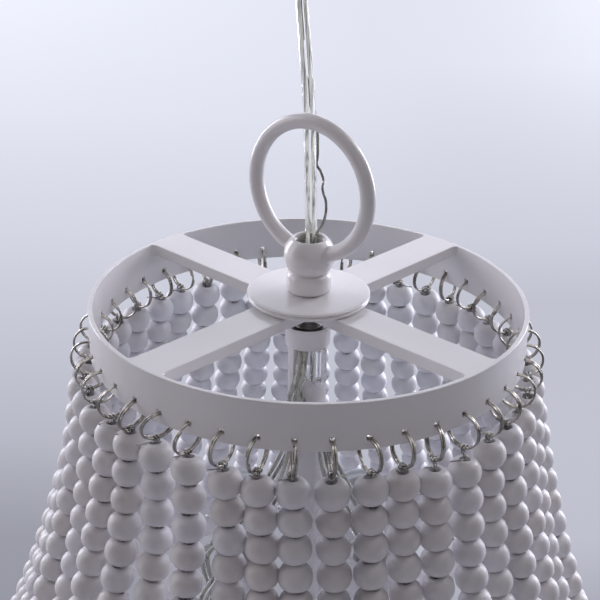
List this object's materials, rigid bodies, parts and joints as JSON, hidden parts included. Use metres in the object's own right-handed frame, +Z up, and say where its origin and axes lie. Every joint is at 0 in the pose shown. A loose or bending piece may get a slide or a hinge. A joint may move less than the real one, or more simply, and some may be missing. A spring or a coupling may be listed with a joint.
{
  "type": "beaded chandelier",
  "caption": "Bell-shaped chandelier: strands of white wooden beads hang between strip-metal hoops, with a crossed-bar hub, a hanging loop and a clear cable up to a ceiling fitting.",
  "frame": {"origin": "where a hook or chain link bears, at the top of the inside of the hanging loop", "axes": "+Z up along the stem, away from the beads; the picture was taken looking along +Y"},
  "size_m": [0.2986, 0.2978, 0.388],
  "materials": {
    "paint": "satin white enamel",
    "beads": "matt white paint on turned wooden beads",
    "nickel": "nickel-plated thread",
    "clear_vinyl": "clear flexible vinyl over stranded wire",
    "tinned_wire": "bare tinned copper strands",
    "plastic": "smooth white plastic"
  },
  "bodies": {
    "hanger": {"hanging_loop": "paint", "supply_cord": "clear_vinyl", "earth_wire": "tinned_wire", "ceiling_fitting": "plastic"},
    "bell": {"top_ring": "paint", "top_cross": "paint", "hub_disc": "paint", "neck_coupling": "paint", "threaded_nipple": "nickel", "wiring_cup": "paint", "stem": "paint", "lower_hoop": "paint", "lower_cross": "paint", "lamp_leads": "clear_vinyl", "bead_strand_01": "beads", "bead_strand_02": "beads", "bead_strand_03": "beads", "bead_strand_04": "beads", "bead_strand_05": "beads", "bead_strand_06": "beads", "bead_strand_07": "beads", "bead_strand_08": "beads", "bead_strand_09": "beads", "bead_strand_10": "beads", "bead_strand_11": "beads", "bead_strand_12": "beads", "bead_strand_13": "beads", "bead_strand_14": "beads", "bead_strand_15": "beads", "bead_strand_16": "beads", "bead_strand_17": "beads", "bead_strand_18": "beads", "bead_strand_19": "beads", "bead_strand_20": "beads", "bead_strand_21": "beads", "bead_strand_22": "beads", "bead_strand_23": "beads", "bead_strand_24": "beads", "bead_strand_25": "beads", "bead_strand_26": "beads", "bead_strand_27": "beads", "bead_strand_28": "beads", "bead_strand_29": "beads", "bead_strand_30": "beads", "bead_strand_31": "beads", "bead_strand_32": "beads", "bead_strand_33": "beads", "bead_strand_34": "beads", "bead_strand_35": "beads", "bead_strand_36": "beads", "bead_strand_37": "beads", "bead_strand_38": "beads", "bead_strand_39": "beads", "bead_strand_40": "beads", "bead_strand_41": "beads", "bead_strand_42": "beads", "candle_lamp_1": "plastic", "candle_lamp_2": "plastic", "candle_lamp_3": "plastic", "candle_lamp_4": "plastic"}
  },
  "joints": [
    {"name": "bell_swivel", "type": "hinge", "parent": "hanger", "child": "bell", "pos_m": [0, 0, 0], "axis": [0, 0, 1], "range_deg": [-180, 180]}
  ]
}
